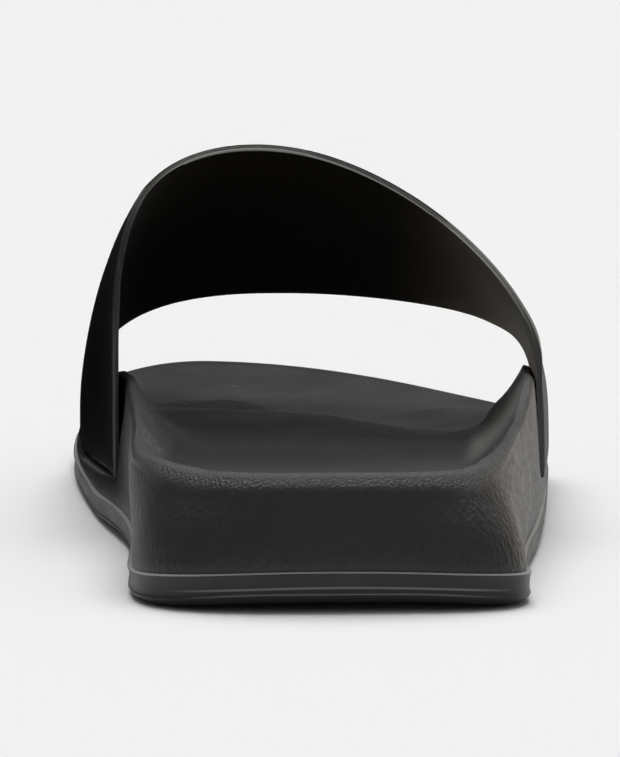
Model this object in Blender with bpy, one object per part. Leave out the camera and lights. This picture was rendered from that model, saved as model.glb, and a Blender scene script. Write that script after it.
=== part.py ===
"""A sport slide sandal for the right foot: outsole, moulded midsole and a one-piece strap.

Metres, +Z up. The toe points along +Y and the outer side of the foot is +X.
Each piece is lofted from sections that are worked out from the driving sizes below.
"""
import math

import bmesh
import bpy
import numpy as np

MM = 0.001

# Driving sizes of the sole
sole_length = 285 * MM
heel_width = 82 * MM
ball_width = 107.5 * MM
outsole_thickness = 6 * MM
outsole_chamfer = 1.6 * MM
outsole_ledge = 0.5 * MM
toe_spring = 4 * MM
heel_bevel = 0.4 * MM
heel_rise = 1.7 * MM
arch_rise = 0.8 * MM
tread_depth = 1.6 * MM
tread_groove = 3 * MM
tread_pitch = 12 * MM
tread_margin = 9 * MM
tread_chevron = 6 * MM
edge_round = 0.6 * MM
face_margin = 5 * MM

# Heel rise: how far the seam over the outsole climbs, more than the underside, at the heel.
# Shares of the length: tread from and to, heel bevel and rise to, toe spring from
tread_start = 0.08
tread_end = 0.90
heel_bevel_run = 0.07
toe_spring_start = 0.72

# Driving sizes of the footbed, as heights over the floor
heel_rim_height = 26.2 * MM
wing_height = 35 * MM
heel_seat_height = 18.5 * MM
crest_height = 20.9 * MM
crest_fall = 3.2 * MM
ball_hollow_height = 11.8 * MM
toe_bed_height = 15 * MM
toe_bed_tilt = 2.8 * MM
arch_support = 1.2 * MM
cup_run = 18 * MM
rim_radius = 4.6 * MM
rim_flat = 0.3 * MM
recess_corner = 0.7 * MM

# The arch support as shares of the length: its middle and its reach along the foot.
# Arch side: share of the ball's width over which it rises to the inner side.
arch_middle = 0.40
arch_reach = 0.12
arch_side = 0.35

# The crest falls to the outer side: its middle and its reach along the foot, and the share of
# the ball's width over which it falls.
crest_middle = 0.575
crest_reach = 0.085
crest_side = 0.30

# Cup roundness: 0 is a hollow wall with a hard rim, 2 a wall that is soft at its rim too.
# Draft curve: power of the side's inward lean over its height.
cup_roundness = 0.3
draft_curve = 1.4

# Driving sizes of the strap
strap_wall = 1.5 * MM
strap_hem_rear = 11.5 * MM
strap_hem_front = 7.7 * MM
instep_height = 83.4 * MM
vamp_height = 44.6 * MM
strap_inset_inner = 1.3 * MM
strap_proud_outer = 0.3 * MM

# Strap edge round: share of the wall. Hem fall: share of the foot over which the hem falls.
strap_edge_round = 0.3
hem_fall = 0.77

# Clearance between two pieces that meet
fit_gap = 0.3 * MM

# The outline of the sole. Along: share of the length from the heel. Ball: how far the
# width has grown from the heel's to the ball's. Inner: share of it on the inner side.
OUTLINE = [
    # along, ball, inner
    (0.00, 0.00, 0.480),
    (0.13, 0.00, 0.476),
    (0.32, 0.23, 0.442),
    (0.45, 0.57, 0.455),
    (0.58, 0.82, 0.462),
    (0.72, 1.00, 0.465),
    (0.82, 0.98, 0.465),
    (0.91, 0.88, 0.462),
    (1.00, 0.76, 0.455),
]

# The round ends of the outline. Run: share of the length. Power: 2 is an ellipse.
ENDS = {
    # end: (inner run, outer run, inner power, outer power)
    "heel": (0.105, 0.100, 2.2, 2.5),
    "toe": (0.160, 0.325, 2.2, 2.0),
}
toe_tip_share = -0.150

# Levels of the rim and of the footbed along the sole, with soft steps between them
RIM = [
    # along, height
    (0.00, 0.97 * heel_rim_height),
    (0.02, 1.00 * heel_rim_height),
    (0.05, 1.05 * heel_rim_height),
    (0.09, 1.08 * heel_rim_height),
    (0.17, 1.09 * heel_rim_height),
    (0.26, 1.11 * heel_rim_height),
    (0.35, 0.92 * wing_height),
    (0.39, 0.98 * wing_height),
    (0.43, 1.00 * wing_height),
    (0.80, 1.02 * toe_bed_height),
    (1.00, 1.00 * toe_bed_height),
]
FOOTBED = [
    # along, height
    (0.00, 1.00 * heel_seat_height),
    (0.24, 1.00 * heel_seat_height),
    (0.56, 1.00 * crest_height),
    (0.585, 1.00 * crest_height),
    (0.66, 1.00 * ball_hollow_height),
    (0.77, 1.00 * ball_hollow_height),
    (0.81, 1.00 * toe_bed_height),
    (1.00, 0.98 * toe_bed_height),
]
ball_line_slant = 0.35

# Shares of the arch's rise under the sole, and of the toe end's tilt
ARCH = [
    # along, share
    (0.00, 0.0),
    (0.30, 0.0),
    (0.37, 1.0),
    (0.43, 1.0),
    (0.50, 0.0),
    (1.00, 0.0),
]
TOE_TILT = [
    # along, share
    (0.00, 0.0),
    (0.72, 0.0),
    (0.88, 1.0),
    (1.00, 1.0),
]

# Rounded lower edge of the outsole, as shares of its chamfer
CHAMFER = [
    # inset, height
    (1.00, 0.00),
    (0.20, 0.70),
    (0.00, 1.12),
]

# Where the middle line of a face stops, as shares of the length from the heel and the toe
MIDDLE_ENDS = {
    # face: (heel, toe)
    "flat": (0.056, 0.070),
    "footbed": (0.070, 0.091),
}

# Width of the sloped wall between the rim and the footbed
CUP_WALL = [
    # along, width
    (0.00, 1.00 * cup_run),
    (0.08, 1.00 * cup_run),
    (0.22, 0.64 * cup_run),
    (0.38, 0.68 * cup_run),
    (0.60, 0.68 * cup_run),
    (0.80, 0.58 * cup_run),
    (1.00, 0.58 * cup_run),
]

# Rounding of the rim, wide at the heel and close where the strap stands beside it
RIM_ROUND = [
    # along, radius
    (0.00, 1.00 * rim_radius),
    (0.05, 1.00 * rim_radius),
    (0.17, 0.46 * rim_radius),
    (0.39, 0.36 * rim_radius),
    (0.80, 0.44 * rim_radius),
    (1.00, 0.44 * rim_radius),
]

# Inward lean of the side from the outsole to the rim
DRAFT = [
    # along, inner side, outer side
    (0.00, 3.5 * MM, 3.5 * MM),
    (0.035, 4.8 * MM, 5.2 * MM),
    (0.07, 3.6 * MM, 4.6 * MM),
    (0.13, 1.6 * MM, 2.8 * MM),
    (0.20, 1.0 * MM, 2.0 * MM),
    (0.42, 2.4 * MM, 1.5 * MM),
    (0.80, 2.4 * MM, 1.5 * MM),
    (1.00, 2.2 * MM, 2.2 * MM),
]

# The strap's edges, as shares of the sole's length
STRAP_EDGES = {
    # edge: (inner side, crown, outer side)
    "rear": (0.402, 0.450, 0.402),
    "front": (0.790, 0.725, 0.745),
}

# Cross sections of the strap from its rear edge to its front edge. Crown: its place as a
# share of half the ball's width. Rise: share of the way from the instep's
# height to the vamp's. Side: share of the crown's height at which each side leaves the
# upright. Pull: how far the shoulders reach along the crown and up the side.
STRAP_SECTIONS = [
    # along, crown, rise, side in, side out, pull in (crown, side), pull out (crown, side)
    (0.00, -0.20, 0.00, 0.50, 0.24, 0.75, 0.77, 0.36, 0.74),
    (0.25, -0.18, 0.23, 0.52, 0.25, 0.76, 0.80, 0.42, 0.76),
    (0.50, -0.16, 0.47, 0.50, 0.26, 0.74, 0.80, 0.50, 0.80),
    (0.75, -0.14, 0.73, 0.42, 0.30, 0.68, 0.76, 0.62, 0.86),
    (1.00, -0.10, 1.00, 0.32, 0.34, 0.62, 0.72, 0.78, 0.93),
]

# How finely the pieces are divided. Rings of the midsole are shares of the side's height,
# degrees around the rim, and shares of the way from the rim to the footbed's middle line.
# Ledge slope: share of the side's height, outside the recess and in it.
COLUMNS = 52
column_gap = 2.5 * MM
tolerance = 0.1 * MM
SIDE_RINGS = (0.0, 0.3, 0.6, 0.85, 1.0)
RIM_RINGS = (30, 60, 90)
BED_RINGS = (0.05, 0.12, 0.21, 0.32, 0.45, 0.58, 0.72, 0.86)
LEDGE_SLOPE = {"outside": 0.06, "recess": 0.01}
STRAP_STEPS = {"upright": 3, "inner": 15, "outer": 20, "along": 11}


def soft_step(share):
    """An S-shaped rise from 0 to 1."""
    share = np.clip(share, 0.0, 1.0)
    return share * share * (3.0 - 2.0 * share)


def level(rows, along, column=1):
    """Read a table of levels at a share of the length, with soft steps between its rows."""
    at = np.array([row[0] for row in rows])
    value = np.array([row[column] for row in rows])
    index = int(np.clip(np.searchsorted(at, along) - 1, 0, len(rows) - 2))
    share = (along - at[index]) / (at[index + 1] - at[index])
    return value[index] + (value[index + 1] - value[index]) * soft_step(share)


def spline(rows, along, column):
    """Read a table at a share of the length on the natural cubic through its rows."""
    at = np.array([row[0] for row in rows])
    value = np.array([row[column] for row in rows])
    count = len(at)
    step = np.diff(at)
    slope = np.diff(value) / step
    matrix = np.eye(count)
    bend = np.zeros(count)
    for i in range(1, count - 1):
        matrix[i, i - 1:i + 2] = step[i - 1], 2.0 * (step[i - 1] + step[i]), step[i]
        bend[i] = 6.0 * (slope[i] - slope[i - 1])
    bend = np.linalg.solve(matrix, bend)
    i = int(np.clip(np.searchsorted(at, along) - 1, 0, count - 2))
    before, after = along - at[i], at[i + 1] - along
    straight = (value[i] * after + value[i + 1] * before) / step[i]
    curve_a = (after ** 3 / step[i] - step[i] * after) * bend[i]
    curve_b = (before ** 3 / step[i] - step[i] * before) * bend[i + 1]
    return straight + (curve_a + curve_b) / 6.0


def end_curve(y, end, side):
    """Share of the half width that is left in the round end of the outline."""
    run = ENDS[end][side] * sole_length
    power = ENDS[end][2 + side]
    from_end = y if end == "heel" else sole_length - y
    depth = max(0.0, 1.0 - from_end / run)
    return (1.0 - depth ** power) ** (1.0 / power)


def outline_x(y, side):
    """Where the sole's edge lies across the foot; side 0 is the inner one, 1 the outer."""
    along = y / sole_length
    width = heel_width + (ball_width - heel_width) * spline(OUTLINE, along, 1)
    inner = width * spline(OUTLINE, along, 2)
    full = -inner if side == 0 else width - inner
    tip = toe_tip_share * ball_width * soft_step((along - 0.5) / 0.5)
    return tip + (full - tip) * end_curve(y, "heel", side) * end_curve(y, "toe", side)


def ground_lift(y):
    """How far the sole's underside stands off the floor: heel bevel, arch, toe spring."""
    along = y / sole_length
    heel = heel_bevel * max(0.0, 1.0 - along / heel_bevel_run) ** 2
    toe_share = (along - toe_spring_start) / (1.0 - toe_spring_start)
    toe = toe_spring * max(0.0, toe_share) ** 2
    return heel + arch_rise * level(ARCH, along) + toe


def seam_lift(y):
    """How far the seam between outsole and midsole stands over its level."""
    rise = heel_rise * max(0.0, 1.0 - y / sole_length / heel_bevel_run) ** 2
    return ground_lift(y) + rise


def strap_edge(edge, side, crown=0.0):
    """Place along the foot of a strap edge, from one side (0) to the crown (1)."""
    inner, top, outer = STRAP_EDGES[edge]
    foot = inner if side == 0 else outer
    return sole_length * (foot + (top - foot) * crown)


def hem_height(y, side):
    """Height of the strap's lower edge, which falls towards the ball."""
    rear, front = strap_edge("rear", side), strap_edge("front", side)
    share = soft_step((y - rear) / (hem_fall * (front - rear)))
    return strap_hem_rear + (strap_hem_front - strap_hem_rear) * share + ground_lift(y)


def toe_tilt(x, y):
    """The toe end's top is a little higher on the inner side."""
    share = level(TOE_TILT, y / sole_length)
    across = np.clip((x - toe_tip_share * ball_width) / (0.5 * ball_width), -1.0, 1.0)
    return -0.5 * toe_bed_tilt * share * across


def column_places():
    """Places along the foot of the sole's sections, close together at its round ends and
    in pairs at the two ends of the strap's recess."""
    pairs = set()
    for side in (0, 1):
        rear = strap_edge("rear", side) - fit_gap
        front = strap_edge("front", side) + fit_gap
        pairs |= {rear - recess_corner, rear, front, front + recess_corner}
    places = list(pairs)
    for k in range(COLUMNS):
        turn = math.pi * (k + 0.5) / COLUMNS
        y = sole_length * 0.5 * (1.0 - math.cos(turn))
        if min(abs(y - pair) for pair in pairs) > column_gap:
            places.append(y)
    return sorted(places)


PLACES = column_places()


def outline_loop():
    """The sole's edge as one loop: up the inner side, back down the outer side."""
    inner = [(outline_x(y, 0), y) for y in PLACES]
    outer = [(outline_x(y, 1), y) for y in reversed(PLACES)]
    return np.array(inner + outer)


OUTLINE_LOOP = outline_loop()
LOOP_COUNT = len(OUTLINE_LOOP)


def loop_normals(loop):
    """Outward normals of a loop in plan."""
    along = np.roll(loop, -1, axis=0) - np.roll(loop, 1, axis=0)
    normal = np.stack([-along[:, 1], along[:, 0]], axis=1)
    return normal / np.linalg.norm(normal, axis=1)[:, None]


LOOP_NORMALS = loop_normals(OUTLINE_LOOP)


def side_of(index):
    return 0 if index < LOOP_COUNT // 2 else 1


def ring(inset, height):
    """A loop inset from the sole's edge; both arguments are functions of the column."""
    points = []
    for i, (edge, normal) in enumerate(zip(OUTLINE_LOOP, LOOP_NORMALS)):
        x, y = edge - normal * inset(i)
        points.append((x, y, height(i)))
    return np.array(points)


def ground_at(index):
    return ground_lift(OUTLINE_LOOP[index][1])


def seam_at(index):
    return seam_lift(OUTLINE_LOOP[index][1])


def middle_line(loop, face, height):
    """The line that closes a face in its middle, clear of its round ends."""
    heel, toe = MIDDLE_ENDS[face]
    half = len(loop) // 2
    inner, outer = loop[:half], loop[::-1][:half]
    points = []
    for a, b in zip(inner, outer):
        share = (a[1] + b[1]) * 0.5 / sole_length
        y = sole_length * (heel + (1.0 - heel - toe) * share)
        x = (a[0] + b[0]) * 0.5
        points.append((x, y, height(x, y)))
    return np.array(points)


def laid(loop, height):
    """A loop laid on a surface: height is a function of x and y."""
    return np.array([(x, y, height(x, y)) for x, y, _ in loop])


def between(loop, middle, share, height):
    """A loop on a surface, on the way from an outer loop to its middle line."""
    target = np.concatenate([middle, middle[::-1]])
    return laid(loop + (target - loop) * share, height)


def loft(name, rings, first_middle, last_middle, material):
    """One closed solid from rings of points, closed at both ends along a middle line."""
    work = bmesh.new()
    rows = [[work.verts.new(point) for point in loop] for loop in rings]
    for low, high in zip(rows, rows[1:]):
        for i in range(LOOP_COUNT):
            j = (i + 1) % LOOP_COUNT
            work.faces.new((low[i], high[i], high[j], low[j]))
    for row, line, turned in ((rows[0], first_middle, True), (rows[-1], last_middle, False)):
        middle = [work.verts.new(point) for point in line]
        middle = middle + middle[::-1]
        for i in range(LOOP_COUNT):
            j = (i + 1) % LOOP_COUNT
            corners = [row[i], middle[i], middle[j], row[j]]
            if middle[i] is middle[j]:
                corners = [row[i], middle[i], row[j]]
            work.faces.new(reversed(corners) if turned else corners)
    return finish(name, work, material)


def finish(name, work, material):
    """Turn a bmesh into a named, smooth shaded object."""
    bmesh.ops.recalc_face_normals(work, faces=work.faces)
    mesh = bpy.data.meshes.new(name)
    work.to_mesh(mesh)
    work.free()
    mesh.shade_smooth()
    mesh.set_sharp_from_angle(angle=math.radians(40))
    mesh.materials.append(material)
    piece = bpy.data.objects.new(name, mesh)
    bpy.context.scene.collection.objects.link(piece)
    return piece


def plastic(name, colour, roughness):
    """A non-metal material with one colour."""
    material = bpy.data.materials.new(name)
    material.use_nodes = True
    shader = material.node_tree.nodes["Principled BSDF"]
    shader.inputs["Base Color"].default_value = (*colour, 1.0)
    shader.inputs["Roughness"].default_value = roughness
    shader.inputs["Metallic"].default_value = 0.0
    material.diffuse_color = (*colour, 1.0)
    return material


# Strap sections, which the midsole's recess follows too

def bezier(points, share):
    """A point on a cubic through two ends and two pulls."""
    a, b, c, d = (np.array(point) for point in points)
    rest = 1.0 - share
    return (a * rest ** 3 + 3.0 * b * rest ** 2 * share
            + 3.0 * c * rest * share ** 2 + d * share ** 3)


def strap_foot(y, side):
    """The strap's outer face beside the sole, in plan."""
    step = 1 * MM
    here = np.array([outline_x(y, side), y])
    along = np.array([outline_x(y + step, side), y + step]) - here
    normal = np.array([-along[1], along[0]]) / np.linalg.norm(along)
    if side == 1:
        normal = -normal
    inset = strap_inset_inner if side == 0 else -strap_proud_outer
    return here - normal * inset


def strap_foot_place(side, along):
    """Place along the foot of a share of the strap, at its foot."""
    rear, front = strap_edge("rear", side), strap_edge("front", side)
    return rear + (front - rear) * along


def shoulder_curve(side, along):
    """Ends and pulls of a section's shoulder, from the foot up to the crown, as (x, z)."""
    row = [spline(STRAP_SECTIONS, along, column) for column in range(1, 9)]
    crown_share, rise, side_in, side_out, in_crown, in_side, out_crown, out_side = row
    top = instep_height + (vamp_height - instep_height) * rise
    crown_x = crown_share * 0.5 * ball_width
    start = top * (side_in if side == 0 else side_out)
    by_crown, by_side = (in_crown, in_side) if side == 0 else (out_crown, out_side)
    foot_x = strap_foot(strap_foot_place(side, along), side)[0]
    shoulder = (foot_x, start + (top - start) * by_side)
    reach = (crown_x + (foot_x - crown_x) * by_crown, top)
    return [(foot_x, start), shoulder, reach, (crown_x, top)]


def strap_lean(side, y, height):
    """How far the strap leans in at a height over the floor, beside the sole."""
    rear, front = strap_edge("rear", side), strap_edge("front", side)
    along = float(np.clip((y - rear) / (front - rear), 0.0, 1.0))
    curve = shoulder_curve(side, along)
    points = np.array([bezier(curve, share) for share in np.linspace(0.0, 0.6, 25)])
    x = np.interp(height, points[:, 1], points[:, 0])
    return abs(curve[0][0] - x)


# Midsole: side, rim and footbed

def side_inset(index, rise):
    """How far the midsole's side leans in, at a share of its height."""
    along = OUTLINE_LOOP[index][1] / sole_length
    draft = level(DRAFT, along, 1 + side_of(index))
    return outsole_ledge + draft * rise ** draft_curve


def recess_inset(index, height):
    """Depth of the recess floor from the sole's edge: the strap, its wall and the gap."""
    side = side_of(index)
    strap = strap_inset_inner if side == 0 else -strap_proud_outer
    lean = strap_lean(side, OUTLINE_LOOP[index][1], height)
    return strap + lean + strap_wall + fit_gap


def in_recess(index):
    y = OUTLINE_LOOP[index][1]
    rear = strap_edge("rear", side_of(index)) - fit_gap
    front = strap_edge("front", side_of(index)) + fit_gap
    return rear - tolerance < y < front + tolerance


def midsole_inset(index, rise):
    """Inset of the side above the strap's hem, with the recess that takes the strap."""
    inset = side_inset(index, rise)
    if in_recess(index):
        return max(inset, recess_inset(index, side_height(index, rise)))
    return inset


def rim_height(index):
    x, y = OUTLINE_LOOP[index]
    return level(RIM, y / sole_length) + toe_tilt(x, y) + seam_at(index)


def midsole_base(index):
    return outsole_thickness + fit_gap + seam_at(index)


def rim_round(index):
    return level(RIM_ROUND, OUTLINE_LOOP[index][1] / sole_length)


def side_height(index, rise):
    """Height on the side at a share of the way from the base to the rim's rounding."""
    low = midsole_base(index)
    return low + (rim_height(index) - rim_round(index) - low) * rise


def ledge_height(index):
    """The step that the strap's hem stands over."""
    return hem_height(OUTLINE_LOOP[index][1], side_of(index)) - fit_gap


def bed_height(x, y, rim_loop):
    """Footbed height: levels along a slanted ball line, the cup's wall and the arch."""
    slanted = np.clip((y + ball_line_slant * x) / sole_length, 0.0, 1.0)
    base = level(FOOTBED, slanted)
    along = np.clip(y / sole_length, 0.0, 1.0)
    arch = math.exp(-((along - arch_middle) / arch_reach) ** 2) * arch_support
    base += arch * soft_step(-x / (arch_side * ball_width))
    crest = math.exp(-((slanted - crest_middle) / crest_reach) ** 2) * crest_fall
    base -= crest * soft_step(x / (crest_side * ball_width))
    wall = cup_wall(distance_to_loop(x, y, rim_loop) / level(CUP_WALL, along))
    return base + (level(RIM, along) - base) * wall + toe_tilt(x, y) + seam_lift(y)


def cup_wall(share):
    """Height left in the cup's wall, from 1 at the rim to 0 where it meets the footbed."""
    share = min(share, 1.0)
    return (1.0 - share) ** 2 * (1.0 + cup_roundness * share)


def distance_to_loop(x, y, loop):
    """Shortest way in plan from a point to a closed loop."""
    start = loop[:, :2]
    run = np.roll(start, -1, axis=0) - start
    to_point = np.array([x, y]) - start
    share = np.sum(to_point * run, axis=1) / np.sum(run * run, axis=1)
    nearest = start + run * np.clip(share, 0.0, 1.0)[:, None]
    return float(np.min(np.linalg.norm(nearest - (x, y), axis=1)))


def ledge_share(index):
    low = midsole_base(index)
    top = rim_height(index) - rim_round(index)
    return (ledge_height(index) - low) / (top - low)


def make_midsole(material):
    def under(x, y):
        return outsole_thickness + fit_gap + seam_lift(y)

    edge = laid(ring(lambda i: outsole_ledge + edge_round, midsole_base), under)
    inner = laid(ring(lambda i: face_margin, midsole_base), under)
    base_middle = middle_line(inner, "flat", under)
    rings = [between(inner, base_middle, 0.5, under), inner, edge]
    rings.append(ring(lambda i: side_inset(i, 0.0), lambda i: midsole_base(i) + edge_round))
    rings.append(ring(lambda i: side_inset(i, ledge_share(i)), ledge_height))

    def above_ledge(share):
        """A ring between the ledge and the rim's rounding."""
        def rise(i):
            start = ledge_share(i) + LEDGE_SLOPE["recess" if in_recess(i) else "outside"]
            return start + (1.0 - start) * share
        return ring(lambda i: midsole_inset(i, rise(i)), lambda i: side_height(i, rise(i)))

    for share in SIDE_RINGS:
        rings.append(above_ledge(share))
    for turn in RIM_RINGS:
        reach = 1.0 - math.cos(math.radians(turn))
        drop = 1.0 - math.sin(math.radians(turn))
        rings.append(ring(lambda i: midsole_inset(i, 1.0) + rim_round(i) * reach,
                          lambda i: rim_height(i) - rim_round(i) * drop))
    rim_inner = ring(lambda i: midsole_inset(i, 1.0) + rim_round(i) + rim_flat, rim_height)
    rings.append(rim_inner)

    def bed(x, y):
        return bed_height(x, y, rim_inner)

    bed_middle = middle_line(rim_inner, "footbed", bed)
    for share in BED_RINGS:
        rings.append(between(rim_inner, bed_middle, share, bed))
    return loft("midsole", rings, base_middle, bed_middle, material)


# Outsole: band, chamfer and tread

def make_outsole(material):
    def under(x, y):
        return ground_lift(y)

    def over(x, y):
        return outsole_thickness + seam_lift(y)

    def chamfer_ring(inset, height):
        return ring(lambda i: outsole_chamfer * inset, lambda i: ground_at(i) + outsole_chamfer * height)

    low_inner = laid(ring(lambda i: face_margin, ground_at), under)
    low_middle = middle_line(low_inner, "flat", under)
    top_edge = laid(ring(lambda i: edge_round, seam_at), over)
    top_inner = laid(ring(lambda i: face_margin, seam_at), over)
    top_middle = middle_line(top_inner, "flat", over)
    rings = [low_inner] + [chamfer_ring(*row) for row in CHAMFER]
    rings[1] = laid(rings[1], under)
    rings.append(ring(lambda i: 0.0, lambda i: seam_at(i) + outsole_thickness - edge_round))
    rings += [top_edge, top_inner, between(top_inner, top_middle, 0.5, over)]
    outsole = loft("outsole", rings, low_middle, top_middle, material)

    cut = outsole.modifiers.new("tread", "BOOLEAN")
    cut.operation = "DIFFERENCE"
    cut.solver = "EXACT"
    cut.object = make_tread_cutter()
    return outsole


def groove_plan(y):
    """Corners in plan of one chevron groove, kept inside the margin of the tread."""
    half = tread_groove * 0.5
    front, back = [], []
    for share in (0.0, 0.5, 1.0):
        low = outline_x(y, 0) + tread_margin
        high = outline_x(y, 1) - tread_margin
        x = low + (high - low) * share
        tip = y + tread_chevron * (1.0 - abs(2.0 * share - 1.0))
        front.append((x, tip + half))
        back.append((x, tip - half))
    return back + front[::-1]


def make_tread_cutter():
    """Chevron grooves across the sole, from heel to toe, joined in one guide."""
    work = bmesh.new()
    first, last = tread_start * sole_length, tread_end * sole_length
    count = int((last - first) / tread_pitch)
    for k in range(count + 1):
        y = first + k * tread_pitch
        plan = groove_plan(y)
        top = ground_lift(y + tread_chevron * 0.5) + tread_depth
        low = [work.verts.new((px, py, -tread_depth)) for px, py in plan]
        high = [work.verts.new((px, py, top)) for px, py in plan]
        work.faces.new(reversed(low))
        work.faces.new(high)
        for i in range(len(plan)):
            j = (i + 1) % len(plan)
            work.faces.new((low[i], low[j], high[j], high[i]))
    cutter = finish("tread_cutter", work, plastic("guide", (0.5, 0.5, 0.5), 1.0))
    cutter.hide_render = True
    cutter.display_type = "WIRE"
    return cutter


# Strap: one wall lofted over the instep

def section_points():
    """Where the sections are read: (part, side, share of the part, share to the crown)."""
    points = []
    upright, inner, outer = (STRAP_STEPS[key] for key in ("upright", "inner", "outer"))
    for i in range(upright):
        points.append(("upright", 0, i / upright, 0.0))
    for i in range(inner):
        points.append(("shoulder", 0, i / inner, soft_step(i / inner)))
    for i in range(outer + 1):
        points.append(("shoulder", 1, 1.0 - i / outer, soft_step(1.0 - i / outer)))
    for i in range(1, upright + 1):
        points.append(("upright", 1, 1.0 - i / upright, 0.0))
    return points


def strap_point(part, side, share, crown, along):
    """A point on the strap's outer face."""
    rear = strap_edge("rear", side, crown)
    front = strap_edge("front", side, crown)
    y = rear + (front - rear) * along
    foot_y = strap_foot_place(side, along)
    foot = strap_foot(foot_y, side)
    curve = shoulder_curve(side, along)
    if part == "upright":
        hem = hem_height(foot_y, side)
        return (foot[0], foot[1], hem + (curve[0][1] - hem) * share)
    x, z = bezier(curve, share)
    bow = (foot[1] - foot_y) * (1.0 - crown)
    return (x, y + bow, z)


def grid_normals(grid):
    """Outward normals of a grid of points."""
    across = np.gradient(grid, axis=0)
    along = np.gradient(grid, axis=1)
    normal = np.cross(across, along)
    return normal / np.linalg.norm(normal, axis=2)[:, :, None]


def make_strap(material):
    count = STRAP_STEPS["along"]
    steps = [0.0] + [(k + 0.5) / count for k in range(count)] + [1.0]
    outer = np.array([[strap_point(*place, along) for along in steps]
                      for place in section_points()])
    normal = grid_normals(outer)
    span = outer[:, -1] - outer[:, 0]
    forward = span / np.linalg.norm(span, axis=1)[:, None]
    soft = strap_wall * strap_edge_round

    work = bmesh.new()
    rows = []
    for face, out, ahead in zip(outer, normal, forward):
        wall = [face[0] + ahead * soft] + list(face[1:-1]) + [face[-1] - ahead * soft]
        inside = [point - side * strap_wall for point, side in zip(wall, out)]
        front = [face[-1] - out[-1] * soft, face[-1] - out[-1] * (strap_wall - soft)]
        rear = [face[0] - out[0] * (strap_wall - soft), face[0] - out[0] * soft]
        loop = wall + front + inside[::-1] + rear
        rows.append([work.verts.new(point) for point in loop])
    size = len(rows[0])
    for here, after in zip(rows, rows[1:]):
        for i in range(size):
            j = (i + 1) % size
            work.faces.new((here[i], here[j], after[j], after[i]))
    close_hem(work, rows[0], len(steps))
    close_hem(work, rows[-1], len(steps))
    return finish("strap", work, material)


def close_hem(work, row, steps):
    """Close the strap's lower end between its outer and inner faces."""
    outside = row[:steps]
    inside = row[steps + 2:2 * steps + 2][::-1]
    front = row[steps:steps + 2]
    rear = row[2 * steps + 2:]
    for i in range(steps - 1):
        work.faces.new((outside[i], outside[i + 1], inside[i + 1], inside[i]))
    work.faces.new((outside[-1], front[0], front[1], inside[-1]))
    work.faces.new((outside[0], inside[0], rear[0], rear[1]))


def centre_on_floor(pieces):
    """Put the middle of the whole box over the origin, in plan."""
    corners = np.array([vertex.co for piece in pieces for vertex in piece.data.vertices])
    middle = (corners.min(axis=0) + corners.max(axis=0)) * 0.5
    for piece in bpy.data.objects:
        piece.location.x -= middle[0]
        piece.location.y -= middle[1]


def clear_scene():
    for piece in list(bpy.data.objects):
        bpy.data.objects.remove(piece, do_unlink=True)


def build():
    clear_scene()
    rubber = plastic("moulded_rubber", (0.020, 0.020, 0.021), 0.55)
    foam = plastic("moulded_foam", (0.024, 0.024, 0.024), 0.60)
    leather = plastic("strap_coating", (0.016, 0.016, 0.016), 0.45)
    pieces = [make_outsole(rubber), make_midsole(foam), make_strap(leather)]
    centre_on_floor(pieces)


build()
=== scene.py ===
"""Looks of a sport slide sandal for the right foot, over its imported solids.

Metres, +Z up. The toe points along +Y and the outer side of the foot is +X.
Places and sizes are written in millimetres.
"""
import math

import bmesh
import bpy
import mathutils
import numpy as np
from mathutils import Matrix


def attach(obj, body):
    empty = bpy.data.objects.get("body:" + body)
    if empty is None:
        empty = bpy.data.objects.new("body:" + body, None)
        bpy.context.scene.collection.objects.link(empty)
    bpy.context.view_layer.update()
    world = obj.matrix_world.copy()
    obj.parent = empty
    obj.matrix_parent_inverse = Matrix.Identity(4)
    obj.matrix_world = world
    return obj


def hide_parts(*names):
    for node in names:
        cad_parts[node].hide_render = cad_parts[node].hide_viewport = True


MM = 0.001

# Camera: its place, how far it looks down and aside in degrees, and its lens
CAMERA_PLACE = (-53.3, -1626.0, 221.7)
LOOKS_DOWN = 6.69
LOOKS_ASIDE = 1.807
CAMERA_LENS = 355.0

# Light: strength of the whole room, and of its bright part overhead
ROOM_LEVEL = 0.71
OVERHEAD_LEVEL = 7.5
OVERHEAD_WAY = (0.0, 0.38, 0.925)
CARD_GLOW = 0.95

# Heel: where its round end starts, its half width and its depth behind that line, and the
# power of its plan curve, as built and at the outer and inner corner that are drawn out
HEEL_LINE = -113.5
HEEL_HALF = 41.0
HEEL_DEPTH = 29.0
HEEL_POWER = 2.4
OUTER_CORNER = 4.6
INNER_CORNER = 3.4

# Back of the outsole: height of its moulded line in the middle, and how fast the line drops
# towards the sides, in metres for each square metre
BACK_LINE = 5.2
BACK_LINE_DROP = -1.1

# Creases of the footbed: a line through places, its width, and its rise or depth
FOOTBED_CREASES = [
    # folds where the wings come off the footbed
    ([(-41, -20, 33), (-33, 10, 24), (-24, 24, 21)], 2.6, -0.5),
    ([(42, -26, 33), (33, 2, 22), (22, 16, 19)], 2.6, -0.4),
    # the outer wing runs out wide into the footbed
    ([(39, -20, 26), (38, 8, 22), (38, 34, 18)], 5.5, 1.5),
    # the seat sags to a shallow trough round the heel pad
    ([(-24, -70, 19), (-18, -104, 19), (0, -112, 19), (18, -102, 19), (25, -66, 19)], 4.0, -0.45),
    # two creases cross the ball hollow
    ([(-30, 36, 14), (-4, 44, 13), (18, 36, 13)], 3.0, -0.35),
    ([(-34, 56, 14), (-6, 63, 13), (24, 52, 13)], 2.4, -0.3),
]

# Soft folds of the strap, where it turns down to the sole
STRAP_FOLDS = [
    ([(-50, -20, 30), (-51, 10, 26), (-51, 40, 20)], 5.0, -0.35),
    ([(50, -20, 34), (52, 10, 28), (53, 40, 20)], 5.0, -0.35),
]

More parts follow.
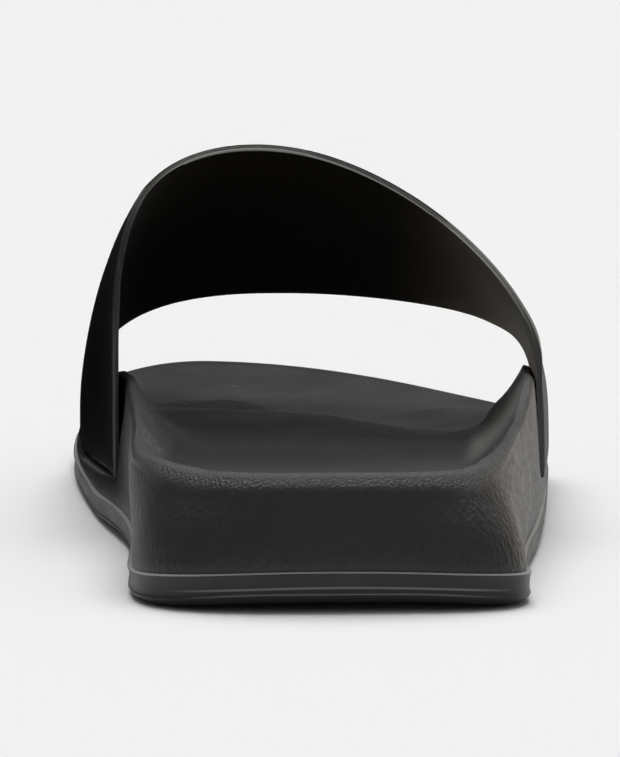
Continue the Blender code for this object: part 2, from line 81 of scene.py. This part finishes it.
# The crest across the footbed, in plan
CREST = [(-34, 31, 0), (-18, 27, 0), (0, 22, 0), (16, 17, 0), (32, 10, 0)]

# A place inside the strap, from which its outer and inner face are told apart
INSIDE_STRAP = (-6.0, 30.0, 20.0)

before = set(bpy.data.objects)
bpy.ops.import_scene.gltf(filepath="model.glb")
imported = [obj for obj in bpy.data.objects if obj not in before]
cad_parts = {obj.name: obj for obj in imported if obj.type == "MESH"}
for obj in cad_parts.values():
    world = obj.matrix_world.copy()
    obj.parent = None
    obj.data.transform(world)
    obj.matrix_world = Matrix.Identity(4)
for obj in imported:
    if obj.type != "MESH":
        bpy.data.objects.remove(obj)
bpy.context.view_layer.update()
scene = bpy.context.scene


# Shaping tools

def ramp(value, start, end):
    """A soft rise from 0 at one place to 1 at another."""
    share = np.clip((value - start) / (end - start), 0.0, 1.0)
    return share * share * (3.0 - 2.0 * share)


def hump(value, middle, width):
    """1 at a middle, and less with the distance from it."""
    return np.exp(-np.square((value - middle) / width))


def select_only(piece):
    bpy.ops.object.select_all(action="DESELECT")
    piece.select_set(True)
    bpy.context.view_layer.objects.active = piece


def copy_solid(node, name):
    """A merged copy of a CAD solid, in quads where its triangles pair up."""
    piece = bpy.data.objects.new(name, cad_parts[node].data.copy())
    scene.collection.objects.link(piece)
    piece.data.name = name
    piece.data.materials.clear()
    select_only(piece)
    bpy.ops.object.mode_set(mode="EDIT")
    bpy.ops.mesh.select_all(action="SELECT")
    bpy.ops.mesh.customdata_custom_splitnormals_clear()
    bpy.ops.mesh.remove_doubles(threshold=0.002 * MM)
    bpy.ops.mesh.tris_convert_to_quads(face_threshold=math.radians(70), shape_threshold=math.radians(100))
    bpy.ops.object.mode_set(mode="OBJECT")
    return piece


def subdivide(piece, levels):
    """Round a piece with subdivision that is applied."""
    select_only(piece)
    modifier = piece.modifiers.new("soften", "SUBSURF")
    modifier.levels = levels
    modifier.render_levels = levels
    bpy.ops.object.modifier_apply(modifier=modifier.name)


def crease_sharp(piece, angle, weight):
    """Hold the edges that are sharper than an angle when the piece is subdivided."""
    work = bmesh.new()
    work.from_mesh(piece.data)
    layer = work.edges.layers.float.get("crease_edge") or work.edges.layers.float.new("crease_edge")
    for edge in work.edges:
        if len(edge.link_faces) == 2 and edge.calc_face_angle(0.0) > math.radians(angle):
            edge[layer] = weight
    work.to_mesh(piece.data)
    work.free()


def inset_faces(piece, test, border, depth):
    """Set back the faces whose middle and normal pass a test, inside a narrow border."""
    bpy.ops.object.mode_set(mode="EDIT")
    bpy.ops.mesh.select_mode(type="FACE")
    bpy.ops.mesh.select_all(action="DESELECT")
    bpy.ops.object.mode_set(mode="OBJECT")
    for face in piece.data.polygons:
        face.select = bool(test(face.center, face.normal))
    bpy.ops.object.mode_set(mode="EDIT")
    bpy.ops.mesh.inset(thickness=border * MM, depth=-depth * MM, use_even_offset=True)
    bpy.ops.object.mode_set(mode="OBJECT")


def read_points(piece, what):
    found = np.zeros(len(piece.data.vertices) * 3)
    piece.data.vertices.foreach_get(what, found)
    return found.reshape(-1, 3)


def points_of(piece):
    """The places of a piece's points, in millimetres."""
    return read_points(piece, "co") / MM


def normals_of(piece):
    return read_points(piece, "normal")


def set_points(piece, points):
    piece.data.vertices.foreach_set("co", (points * MM).ravel())
    piece.data.update()


def near_line(points, line):
    """Distance of each point from a line through a few places."""
    line = np.array(line, dtype=float)
    nearest = np.full(len(points), 1000.0)
    for start, end in zip(line[:-1], line[1:]):
        run = end - start
        share = np.clip((points - start) @ run / (run @ run), 0.0, 1.0)
        nearest = np.minimum(nearest, np.linalg.norm(points - start - share[:, None] * run, axis=1))
    return nearest


def press_creases(piece, creases):
    """Press soft troughs, or raise soft ridges, one after the other."""
    for line, width, rise in creases:
        points = points_of(piece)
        lift = rise * hump(near_line(points, line), 0.0, width)
        set_points(piece, points + normals_of(piece) * lift[:, None])


def paint(piece, name, values):
    """Keep a value for each vertex, for the material to read."""
    layer = piece.data.attributes.new(name, "FLOAT", "POINT")
    layer.data.foreach_set("value", np.asarray(values, dtype=np.float32))


def smooth(piece, angle=None):
    select_only(piece)
    if angle is None:
        bpy.ops.object.shade_smooth()
    else:
        bpy.ops.object.shade_smooth_by_angle(angle=math.radians(angle))


# Material tools

def linear(code):
    """A colour from its sRGB hex code."""
    parts = [int(code[i:i + 2], 16) / 255 for i in (0, 2, 4)]
    return [c / 12.92 if c <= 0.04045 else ((c + 0.055) / 1.055) ** 2.4 for c in parts] + [1.0]


def add_node(tree, kind, settings=None, sockets=None):
    """Add a node. A socket takes a plain value, or another node's output to link."""
    node = tree.nodes.new(kind)
    for key, value in (settings or {}).items():
        setattr(node, key, value)
    for key, value in (sockets or {}).items():
        if isinstance(value, bpy.types.NodeSocket):
            tree.links.new(value, node.inputs[key])
        else:
            node.inputs[key].default_value = value
    return node


def new_material(name):
    """A material, its nodes, its shader, and the place of each point on the object."""
    material = bpy.data.materials.new(name)
    material.use_nodes = True
    tree = material.node_tree
    place = add_node(tree, "ShaderNodeTexCoord").outputs["Object"]
    return material, tree, tree.nodes["Principled BSDF"], place


def maths(tree, operation, *values):
    node = add_node(tree, "ShaderNodeMath", {"operation": operation}, dict(enumerate(values)))
    return node.outputs[0]


def vector_maths(tree, operation, sockets):
    return add_node(tree, "ShaderNodeVectorMath", {"operation": operation}, sockets).outputs


def carry(tree, value, source, target, kind="LINEAR"):
    """A value carried from one range to another, and held at both ends."""
    sockets = {"Value": value, "From Min": source[0], "From Max": source[1],
               "To Min": target[0], "To Max": target[1]}
    return add_node(tree, "ShaderNodeMapRange", {"interpolation_type": kind}, sockets).outputs[0]


def noise(tree, place, apart, detail, roughness=0.5):
    """Cloudy noise with its patches so many millimetres apart."""
    return add_node(tree, "ShaderNodeTexNoise", None,
                    {"Vector": place, "Scale": 1.0 / (apart * MM), "Detail": detail,
                     "Roughness": roughness}).outputs


def cells(tree, place, apart, smoothness):
    """Rounded cells so many millimetres apart, lowest in their middle."""
    return add_node(tree, "ShaderNodeTexVoronoi", {"feature": "SMOOTH_F1"},
                    {"Vector": place, "Scale": 1.0 / (apart * MM),
                     "Smoothness": smoothness}).outputs["Distance"]


def relief(tree, height, strength, depth, over=None):
    """A surface bent by a height, as deep as so many millimetres."""
    sockets = {"Height": height, "Strength": strength, "Distance": depth * MM}
    if over is not None:
        sockets["Normal"] = over
    return add_node(tree, "ShaderNodeBump", None, sockets).outputs[0]


def blend(tree, share, first, second):
    """One colour that turns into another."""
    return add_node(tree, "ShaderNodeMix", {"data_type": "RGBA"},
                    {"Factor": share, "A": first, "B": second}).outputs["Result"]


def painted(tree, name):
    return add_node(tree, "ShaderNodeAttribute", {"attribute_name": name}).outputs["Fac"]


# Camera, at the photograph's height and angle behind the heel

def place_camera():
    data = bpy.data.cameras.new("camera")
    data.sensor_width = 36.0
    data.lens = CAMERA_LENS
    camera = bpy.data.objects.new("camera", data)
    scene.collection.objects.link(camera)
    camera.location = [side * MM for side in CAMERA_PLACE]
    camera.rotation_euler = (math.radians(90.0 - LOOKS_DOWN), 0.0, math.radians(-LOOKS_ASIDE))
    scene.camera = camera


# Materials

def moulded_foam():
    """EVA foam from a grained mould: matt black, with fine upright wrinkles on its sides that
    shrink to a pebble grain on its top, and a dull shine where the grain is worn flat."""
    material, tree, shader, place = new_material("moulded EVA foam")
    rim = painted(tree, "rim")
    side = painted(tree, "side")
    painted_shade = painted(tree, "painted_shade")
    # wrinkles 0.8 mm apart and about 2 mm long, drawn upright and bent by a slow noise
    upright = add_node(tree, "ShaderNodeMapping", None, {"Vector": place, "Scale": (1.0, 1.0, 0.36)})
    bend = noise(tree, upright.outputs[0], 3.85, 2.0)["Color"]
    shift = vector_maths(tree, "SCALE", {0: bend, "Scale": 1.3 * MM})[0]
    bent = vector_maths(tree, "ADD", {0: upright.outputs[0], 1: shift})[0]
    wrinkle = cells(tree, bent, 0.8, 0.5)
    # pebble 0.5 mm across, too fine to tell apart but felt in the highlights
    pebble = noise(tree, place, 0.526, 3.0, 0.6)["Fac"]
    # on the rim the wrinkles fade and the pebble grows
    faded = maths(tree, "MULTIPLY", wrinkle, maths(tree, "MULTIPLY_ADD", rim, -0.8, 1.0))
    pebbled = maths(tree, "MULTIPLY_ADD", rim, 2.2, 0.6)
    grain = maths(tree, "MULTIPLY_ADD", pebble, pebbled, faded)
    # deeper on the outer side and on the rim, where the light rakes over them
    depth = maths(tree, "MULTIPLY_ADD", side, 1.1, 0.9)
    deeper = maths(tree, "MULTIPLY_ADD", rim, 0.6, depth)
    normal = relief(tree, maths(tree, "MULTIPLY", grain, deeper), 0.6, 0.3)
    # a clouded gloss: the rim is rubbed to a gloss, and the foam is dull where shade is painted, in the
    # ball hollow, the toe bed and the seat
    clouds = noise(tree, place, 18.2, 4.0)["Fac"]
    dull = carry(tree, clouds, (0.3, 0.7), (0.44, 0.54))
    wear_and_painted_light = maths(tree, "MULTIPLY_ADD", rim, -0.15, dull)
    pressed = maths(tree, "POWER", painted_shade, 2.0)
    skin = maths(tree, "MULTIPLY_ADD", pressed, 0.5, wear_and_painted_light)
    # the outer side's wrinkles are shinier than the grooves between them
    raised = carry(tree, wrinkle, (0.1, 0.6), (0.13, -0.08))
    gloss = maths(tree, "MULTIPLY_ADD", side, raised, skin)
    # a warm black, with painted shade in the ball hollow, the toe bed and the seat, and painted light
    # under the strap, along the crest and on the outer wing's inner wall
    tint = blend(tree, clouds, linear("202020"), linear("272625"))
    # painted shade: darker towards 0c0c09 in the ball hollow, the toe bed and the heel's seat
    shaded_tint = blend(tree, painted_shade, tint, linear("0c0c09"))
    # painted light: greyed towards 757370 under the strap, along the crest and on the outer wing's inner
    # wall
    painted_light = blend(tree, painted(tree, "wear_and_painted_light"), shaded_tint, linear("757370"))
    tree.links.new(painted_light, shader.inputs["Base Color"])
    tree.links.new(gloss, shader.inputs["Roughness"])
    tree.links.new(normal, shader.inputs["Normal"])
    shader.inputs["IOR"].default_value = 1.5
    return material


def moulded_rubber():
    """Moulded rubber: a little denser and smoother than the foam, with a fine matt bloom."""
    material, tree, shader, place = new_material("moulded rubber")
    # spark-eroded mould skin, 0.45 mm
    eroded = noise(tree, place, 0.455, 2.0, 0.6)["Fac"]
    skin = relief(tree, eroded, 0.4, 0.15)
    bloom = noise(tree, place, 14.3, 5.0)["Fac"]
    dull = carry(tree, bloom, (0.3, 0.7), (0.42, 0.55))
    tint = blend(tree, bloom, linear("171717"), linear("1d1d1c"))
    # painted highlight: the moulded lips are greyed where they face up
    lip_highlight = blend(tree, painted(tree, "lip"), tint, linear("9c9c99"))
    # a moulded line 0.6 mm wide arches across the back, under the upper lip: a raised relief, with a
    # painted highlight in its colour
    parts = add_node(tree, "ShaderNodeSeparateXYZ", None, {0: place}).outputs
    aside = maths(tree, "MULTIPLY", parts["X"], parts["X"])
    arch = maths(tree, "MULTIPLY_ADD", aside, BACK_LINE_DROP, BACK_LINE * MM)
    away = maths(tree, "ABSOLUTE", maths(tree, "SUBTRACT", parts["Z"], arch))
    thin = carry(tree, away, (0.08 * MM, 0.38 * MM), (1.0, 0.0), "SMOOTHSTEP")
    behind = carry(tree, parts["Y"], (-132.0 * MM, -120.0 * MM), (1.0, 0.0), "SMOOTHSTEP")
    middle = carry(tree, aside, ((22.4 * MM) ** 2, (36.1 * MM) ** 2), (1.0, 0.0), "SMOOTHSTEP")
    line = maths(tree, "MULTIPLY", thin, maths(tree, "MULTIPLY", behind, middle))
    # painted highlight: the line is greyed to 747472
    drawn = blend(tree, line, lip_highlight, linear("747472"))
    tree.links.new(drawn, shader.inputs["Base Color"])
    tree.links.new(dull, shader.inputs["Roughness"])
    tree.links.new(relief(tree, line, 0.6, 0.25, skin), shader.inputs["Normal"])
    shader.inputs["IOR"].default_value = 1.52
    return material


def coated_leather():
    """Synthetic leather: polyurethane coat over cloth, satin, with a close leather grain."""
    material, tree, shader, place = new_material("polyurethane coated leather")
    # leather cells 0.9 mm across, with a finer grain over them
    leather = cells(tree, place, 0.91, 0.4)
    fine = noise(tree, place, 0.417, 2.0)["Fac"]
    grain = maths(tree, "MULTIPLY_ADD", fine, 0.4, leather)
    tree.links.new(relief(tree, grain, 0.6, 0.2), shader.inputs["Normal"])
    shader.inputs["Base Color"].default_value = linear("101010")
    shader.inputs["Roughness"].default_value = 0.55
    shader.inputs["Specular IOR Level"].default_value = 0.24
    return material


def strap_lining():
    """Brushed knit lining bonded to foam: matt, a warm black with a soft nap at low angles."""
    material, tree, shader, place = new_material("brushed knit lining")
    # nap 0.6 mm across
    nap = noise(tree, place, 0.588, 3.0, 0.7)["Fac"]
    tree.links.new(relief(tree, nap, 0.5, 0.15), shader.inputs["Normal"])
    # painted reflection: a warm brown glow on the outer front, where light comes in through the opening
    parts = add_node(tree, "ShaderNodeSeparateXYZ", None, {0: place}).outputs
    outer = carry(tree, parts["X"], (15.0 * MM, 44.0 * MM), (0.0, 1.0), "SMOOTHSTEP")
    front = carry(tree, parts["Y"], (-10.0 * MM, 50.0 * MM), (0.45, 1.0), "SMOOTHSTEP")
    wear_and_painted_light = maths(tree, "MULTIPLY", outer, front)
    tree.links.new(blend(tree, wear_and_painted_light, linear("0a0a09"), linear("8f7e66")), shader.inputs["Base Color"])
    shader.inputs["Roughness"].default_value = 0.6
    shader.inputs["IOR"].default_value = 1.4
    shader.inputs["Specular Tint"].default_value = linear("e2c6a0")
    return material


def edge_paint():
    """Edge paint on the cut edges of the strap: a grey line, glossier than the coat."""
    material, tree, shader, place = new_material("edge paint")
    # brush marks 2 mm apart
    brushed = noise(tree, place, 2.0, 2.0)["Fac"]
    tree.links.new(relief(tree, brushed, 0.3, 0.08), shader.inputs["Normal"])
    # painted highlight: greyed over the instep and the outer shoulder, where light from above falls on
    # the edge
    tint = blend(tree, painted(tree, "painted_light"), linear("2c2b29"), linear("9a9893"))
    tree.links.new(tint, shader.inputs["Base Color"])
    shader.inputs["Roughness"].default_value = 0.3
    shader.inputs["IOR"].default_value = 1.5
    return material


# Pieces

def square_heel(points):
    """Draw the heel's round end out to the photograph's tighter corners, less at the rim."""
    x, y, z = points.T
    aside = np.abs(x) / HEEL_HALF
    back = np.clip(HEEL_LINE - y, 0.0, None) / HEEL_DEPTH
    corner = np.where(x > 0.0, OUTER_CORNER, INNER_CORNER)
    built = (aside ** HEEL_POWER + back ** HEEL_POWER) ** (1.0 / HEEL_POWER)
    drawn = (aside ** corner + back ** corner) ** (1.0 / corner)
    share = 1.0 - 0.62 * ramp(z, 13.0, 25.0)
    grow = 1.0 + (built / np.maximum(drawn, 1e-6) - 1.0) * share * (back > 0.0)
    moved = points.copy()
    moved[:, 0] = x * grow
    moved[:, 1] = np.where(back > 0.0, HEEL_LINE - (HEEL_LINE - y) * grow, y)
    return moved


def fit_footbed(points, normals):
    """The footbed's solid, sunk into the outsole's lip and fuller on its inner side."""
    moved = points.copy()
    base = (normals[:, 2] < -0.3) & (points[:, 2] < 13.0)
    moved[base, 2] -= 0.9
    moved = square_heel(moved)
    # the inner side stands steeper than the outer one, and its wing is lower
    x, y, z = moved.T.copy()
    behind = ramp(y, -30.0, -44.0) * ramp(y, -128.0, -103.0)
    moved[:, 0] -= 1.7 * behind * ramp(z, 10.0, 24.0) * ramp(x, -26.0, -36.0)
    wing = ramp(x, -33.0, -38.0) * ramp(y, -60.0, -35.0) * ramp(y, 25.0, -5.0)
    moved[:, 2] -= 1.0 * wing * ramp(z, 22.0, 32.0)
    return moved


def paint_footbed(piece):
    """Mark where the foot changes the foam's skin, and where shade and light are painted into its colour.
    """
    points, normals = points_of(piece), normals_of(piece)
    x, y, z = points.T
    outward, upward = normals[:, 0], normals[:, 2]
    # the rounded rim of the heel cup
    rounded = ramp(upward, 0.30, 0.50) * ramp(upward, 0.97, 0.89)
    paint(piece, "rim", rounded * ramp(z, 22.0, 24.0) * ramp(y, -30.0, -90.0))
    # painted shade darkens the hollow before the toe step, less in its middle
    step = 97.0 - 0.70 * np.clip(x + 18.0, 0.0, 60.0)
    painted_shade = ramp(step - y, 0.0, 5.0) * ramp(y, 40.0, 52.0) * (1.0 - 0.5 * hump(x, 2.0, 8.0))
    # painted shade also darkens the toe bed, and the heel's seat a little
    painted_shade = np.maximum(painted_shade, 0.85 * ramp(y, 40.0, 60.0))
    painted_shade = np.maximum(painted_shade, 0.5 * ramp(y, -34.0, -58.0))
    paint(piece, "painted_shade", painted_shade * ramp(upward, 0.7, 0.9))
    # painted light: the bed is greyed under the strap, which shades it, and a painted highlight runs
    # along the crest across it
    plan = points * np.array([1.0, 1.0, 0.0])
    under = ramp(y, -52.0, -18.0) * ramp(y, 52.0, 36.0)
    wear_and_painted_light = 0.52 * under + 0.48 * hump(near_line(plan, CREST), 0.0, 3.0)
    wear_and_painted_light *= ramp(upward, 0.6, 0.85)
    # and painted light on the inner wall of the outer wing, which lies in shade
    wall = ramp(outward, -0.1, -0.4) * ramp(x, 26.0, 34.0) * ramp(y, -70.0, -40.0) * ramp(y, 40.0, 20.0)
    paint(piece, "wear_and_painted_light", np.maximum(wear_and_painted_light, wall))
    paint(piece, "side", ramp(outward, 0.2, 0.7) * (z < 40.0))


def make_footbed(material):
    piece = copy_solid("midsole", "footbed_body")
    set_points(piece, fit_footbed(points_of(piece), normals_of(piece)))
    crease_sharp(piece, 55, 0.85)
    subdivide(piece, 2)
    press_creases(piece, FOOTBED_CREASES)
    paint_footbed(piece)
    piece.data.materials.append(material)
    smooth(piece)
    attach(piece, "root")
    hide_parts("midsole")
    return piece


def make_sole(material):
    piece = copy_solid("outsole", "tread_sole")
    points = points_of(piece)
    points[(normals_of(piece)[:, 2] > 0.3) & (points[:, 2] > 4.0), 2] += 0.1
    # the lip round the top stands out a little
    normals = normals_of(piece)
    lip = (np.abs(normals[:, 2]) < 0.55) & (points[:, 2] > 4.2)
    points[lip, :2] += 0.15 * normals[lip, :2]
    points[lip, 2] -= 0.05
    points = square_heel(points)
    # behind the heel the seam climbs and the sole's edge turns up off the floor
    back = ramp(points[:, 1], -108.0, -138.0)
    middle = ramp(np.abs(points[:, 0]), 44.0, 14.0)
    high = ramp(points[:, 2], 3.0, 5.5)
    points[:, 2] += back * (0.6 * high + 1.5 * middle * (1.0 - high))
    set_points(piece, points)
    # the side band lies back between a lip at its top and a lip over the tread
    inset_faces(piece, lambda place, normal: abs(normal.z) < 0.3 and place.z > 2.0 * MM, 0.45, 0.32)
    crease_sharp(piece, 50, 1.0)
    subdivide(piece, 2)
    # painted highlight on both lips where they face up, the lower one behind the heel alone
    upward = normals_of(piece)[:, 2]
    x, y, z = points_of(piece).T
    lip_highlight = ramp(upward, 0.22, 0.57) * ramp(z, 1.4, 1.8)
    paint(piece, "lip", lip_highlight * np.maximum(ramp(z, 4.2, 5.0), ramp(np.abs(x), 36.0, 22.0)))
    piece.data.materials.append(material)
    smooth(piece, 40)
    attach(piece, "root")
    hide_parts("outsole")
    return piece


def fill_out(points):
    """Ease the strap to the photograph's line: its inner rear edge, crown, outer shoulder and
    its front edge, which hangs lower on the outer side."""
    x, y, z = points.T
    rear = ramp(y, 70.0, -20.0)
    inner = ramp(x, -22.0, -38.0) * ramp(y, 8.0, -26.0)
    shoulder = (hump(z, 50.0, 12.0) + 0.9 * hump(z, 41.0, 6.5)) * ramp(x, 12.0, 37.0)
    top = ramp(z, 40.0, 65.0) * ramp(np.abs(x + 10.0), 30.0, 5.0)
    front = ramp(y, 15.0, 70.0) * ramp(z, 18.0, 28.0)
    hang = (0.6 + 1.9 * ramp(x, -5.0, 37.0)) * (1.0 - ramp(x, 41.0, 53.0))
    moved = points.copy()
    moved[:, 0] += 1.6 * shoulder * rear - 1.2 * inner
    moved[:, 2] += 0.6 * top * rear - front * hang
    return moved


def make_strap(outside, inside, edge):
    piece = copy_solid("strap", "strap_band")
    points, normals = points_of(piece), normals_of(piece)
    outward = np.sum((points - np.array(INSIDE_STRAP)) * normals, axis=1) > 0.0
    # the outer rear edge is skived, most over the instep
    skived = outward & (normals[:, 1] < -0.25)
    points = fill_out(points)
    tilt = 0.3 + 1.1 * ramp(points[:, 2], 38.0, 68.0) + 0.5 * (points[:, 0] > 0.0)
    points[skived, 1] += tilt[skived]
    set_points(piece, points)
    # a groove in each cut edge, where the coat and the lining meet
    inset_faces(piece, lambda place, normal: abs(normal.y) > 0.74, 0.16, 0.3)
    subdivide(piece, 2)
    for material in (outside, inside, edge):
        piece.data.materials.append(material)
    middle = mathutils.Vector(INSIDE_STRAP) * MM
    for face in piece.data.polygons:
        inward = face.normal.dot(face.center - middle) < 0.0
        cut = abs(face.normal.y) > 0.7 or (face.normal.y < -0.2 and not inward)
        face.material_index = 2 if cut else int(inward)
    x, y, z = points_of(piece).T
    # painted highlight on the cut edge, high on the strap and away from its inner side
    paint(piece, "painted_light", ramp(z, 34.0, 60.0) * ramp(x, -46.0, -28.0))
    press_creases(piece, STRAP_FOLDS)
    smooth(piece)
    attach(piece, "root")
    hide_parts("strap")
    return piece


# Floor and light

def pale_floor():
    """A matt paper floor, pale and even."""
    material = bpy.data.materials.new("matt paper")
    material.use_nodes = True
    shader = material.node_tree.nodes["Principled BSDF"]
    shader.inputs["Base Color"].default_value = (0.93, 0.93, 0.93, 1.0)
    shader.inputs["Roughness"].default_value = 1.0
    shader.inputs["Specular IOR Level"].default_value = 0.0
    bpy.ops.object.select_all(action="DESELECT")
    bpy.ops.mesh.primitive_plane_add(size=300.0, location=(0.0, 0.0, 0.0))
    floor = bpy.context.object
    floor.name = "floor"
    floor.data.materials.append(material)


def add_panel(name, surface, place, size):
    """A black panel of the studio that is seen by reflections alone."""
    material = bpy.data.materials.new(surface)
    material.use_nodes = True
    shader = material.node_tree.nodes["Principled BSDF"]
    shader.inputs["Base Color"].default_value = (0.0, 0.0, 0.0, 1.0)
    bpy.ops.object.select_all(action="DESELECT")
    bpy.ops.mesh.primitive_cube_add(size=1.0, location=[side * MM for side in place])
    panel = bpy.context.object
    panel.name = name
    panel.scale = [side * MM for side in size]
    bpy.ops.object.transform_apply(location=True, rotation=True, scale=True)
    panel.data.materials.append(material)
    panel.visible_camera = False
    panel.visible_diffuse = False
    panel.visible_shadow = False
    return panel, shader


def dark_flag():
    """A black flag close beside the inner side, that holds the inner side of the strap dark."""
    flag, shader = add_panel("flag", "black flock", (-59.0, 320.0, 50.0), (2.0, 680.0, 96.0))
    shader.inputs["Specular IOR Level"].default_value = 0.0


def side_card():
    """A warm card far out on the outer side, that draws the grain of the sole's outer side."""
    card, shader = add_panel("card", "white card", (420.0, 450.0, 110.0), (4.0, 900.0, 200.0))
    shader.inputs["Emission Color"].default_value = (1.0, 0.88, 0.74, 1.0)
    shader.inputs["Emission Strength"].default_value = CARD_GLOW


def studio_light():
    """Even soft light from the room: brightest high on the outer side and behind the toe,
    dimmer from the camera's side and from the inner side."""
    world = bpy.data.worlds.new("studio")
    scene.world = world
    world.use_nodes = True
    tree = world.node_tree
    way = add_node(tree, "ShaderNodeTexCoord").outputs["Generated"]
    parts = add_node(tree, "ShaderNodeSeparateXYZ", None, {0: way}).outputs
    high = carry(tree, parts["Z"], (-0.1, 0.9), (0.34, 0.50), "SMOOTHSTEP")
    back = carry(tree, parts["Y"], (-0.9, 0.5), (0.76, 0.90), "SMOOTHSTEP")
    inner = carry(tree, parts["X"], (-0.9, 0.1), (0.5, 1.0), "SMOOTHSTEP")
    toward = vector_maths(tree, "DOT_PRODUCT", {0: way, 1: OVERHEAD_WAY})["Value"]
    overhead = carry(tree, toward, (0.86, 0.99), (0.0, OVERHEAD_LEVEL), "SMOOTHSTEP")
    room = maths(tree, "MULTIPLY", maths(tree, "MULTIPLY", high, back), inner)
    total = maths(tree, "ADD", room, overhead)
    background = tree.nodes["Background"]
    tree.links.new(maths(tree, "MULTIPLY", total, ROOM_LEVEL), background.inputs["Strength"])
    background.inputs["Color"].default_value = (1.0, 1.0, 1.0, 1.0)


def main():
    scene.view_settings.view_transform = "Standard"
    place_camera()
    make_footbed(moulded_foam())
    make_sole(moulded_rubber())
    make_strap(coated_leather(), strap_lining(), edge_paint())
    pale_floor()
    dark_flag()
    side_card()
    studio_light()


main()
